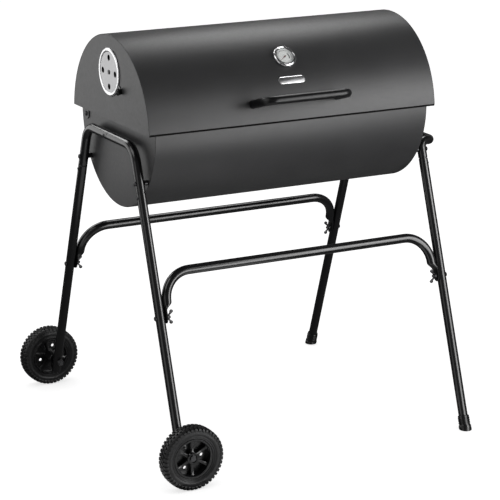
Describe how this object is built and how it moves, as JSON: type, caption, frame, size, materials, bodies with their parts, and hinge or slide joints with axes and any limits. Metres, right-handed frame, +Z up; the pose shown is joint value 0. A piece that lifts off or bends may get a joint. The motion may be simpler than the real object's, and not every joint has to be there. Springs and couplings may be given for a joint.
{
  "type": "barrel charcoal grill",
  "caption": "Half-drum charcoal grill with a hinged half-drum lid on a splayed tube stand with wheels at one end, carry handle, lid thermometer and turning end vents.",
  "frame": {"origin": "on the floor, at the middle of the whole grill's length and depth", "axes": "+X along the barrel towards the carrying handle, +Y towards the back where the lid hinges, +Z up"},
  "size_m": [0.8709, 0.852, 0.9581],
  "materials": {
    "drum_paint": "satin black heat-resistant paint",
    "tube_paint": "semi-gloss black powder coat",
    "black_steel": "black oxide",
    "black_plastic": "moulded black plastic",
    "tyre_rubber": "dull black",
    "chrome": "bright chrome",
    "dial_white": "printed pale dial",
    "clear_glass": "clear",
    "needle_red": "painted pointer",
    "badge_metal": "bare brushed plate",
    "vent_metal": "zinc-plated",
    "grill_wire": "chrome-plated wire"
  },
  "bodies": {
    "stand": {"bowl_shell": "drum_paint", "bowl_end_left": "drum_paint", "bowl_end_right": "drum_paint", "hinge_bolt_left": "black_steel", "hinge_bolt_right": "black_steel", "upper_tube_front_left": "tube_paint", "upper_tube_back_left": "tube_paint", "carry_handle_tube": "tube_paint", "stretcher_front": "tube_paint", "stretcher_back": "tube_paint", "foot_cap_front_right": "black_plastic", "foot_cap_back_right": "black_plastic", "axle_bolt_front": "black_steel", "axle_bolt_back": "black_steel", "cooking_grill_left": "grill_wire", "cooking_grill_right": "grill_wire", "charcoal_grate": "grill_wire", "leg_front_left": "tube_paint", "spacer_front_left": "black_steel", "bowl_bolt_front_left": "black_steel", "wing_bolt_front_left": "black_steel", "wing_nut_front_left": "black_steel", "leg_back_left": "tube_paint", "spacer_back_left": "black_steel", "bowl_bolt_back_left": "black_steel", "wing_bolt_back_left": "black_steel", "wing_nut_back_left": "black_steel", "leg_front_right": "tube_paint", "spacer_front_right": "black_steel", "bowl_bolt_front_right": "black_steel", "wing_bolt_front_right": "black_steel", "wing_nut_front_right": "black_steel", "leg_back_right": "tube_paint", "spacer_back_right": "black_steel", "bowl_bolt_back_right": "black_steel", "wing_bolt_back_right": "black_steel", "wing_nut_back_right": "black_steel"},
    "lid": {"lid_shell": "drum_paint", "lid_end_left": "drum_paint", "lid_end_right": "drum_paint", "hinge_strap_left": "drum_paint", "hinge_strap_right": "drum_paint", "lid_handle": "tube_paint", "thermometer_case": "chrome", "thermometer_nut": "black_steel", "thermometer_dial": "dial_white", "thermometer_lens": "clear_glass", "badge_plate": "badge_metal", "vent_rivet_left": "black_steel", "vent_rivet_right": "black_steel"},
    "vent_left": {"vent_disc_left": "vent_metal", "vent_knob_left": "black_plastic"},
    "vent_right": {"vent_disc_right": "vent_metal", "vent_knob_right": "black_plastic"},
    "needle": {"thermometer_needle": "needle_red"},
    "front_wheel": {"wheel_front": "black_plastic", "tyre_front": "tyre_rubber"},
    "back_wheel": {"wheel_back": "black_plastic", "tyre_back": "tyre_rubber"}
  },
  "joints": [
    {"name": "lid_hinge", "type": "hinge", "parent": "stand", "child": "lid", "pos_m": [0.0125, 0.175, 0.742], "axis": [-1, 0, 0], "range_deg": [0, 78]},
    {"name": "vent_turn_left", "type": "hinge", "parent": "lid", "child": "vent_left", "pos_m": [-0.361, 0, 0.872], "axis": [-1, 0, 0], "range_deg": [0, 45]},
    {"name": "vent_turn_right", "type": "hinge", "parent": "lid", "child": "vent_right", "pos_m": [0.386, 0, 0.872], "axis": [-1, 0, 0], "range_deg": [0, 45]},
    {"name": "needle_turn", "type": "hinge", "parent": "lid", "child": "needle", "pos_m": [0.0125, -0.14754, 0.89774], "axis": [0, 0.7009, -0.7133], "range_deg": [0, 250]},
    {"name": "front_wheel_spin", "type": "hinge", "parent": "stand", "child": "front_wheel", "pos_m": [-0.3615, -0.40799, 0.074], "axis": [0, 1, 0], "continuous": true},
    {"name": "back_wheel_spin", "type": "hinge", "parent": "stand", "child": "back_wheel", "pos_m": [-0.3615, 0.40799, 0.074], "axis": [0, 1, 0], "continuous": true}
  ]
}
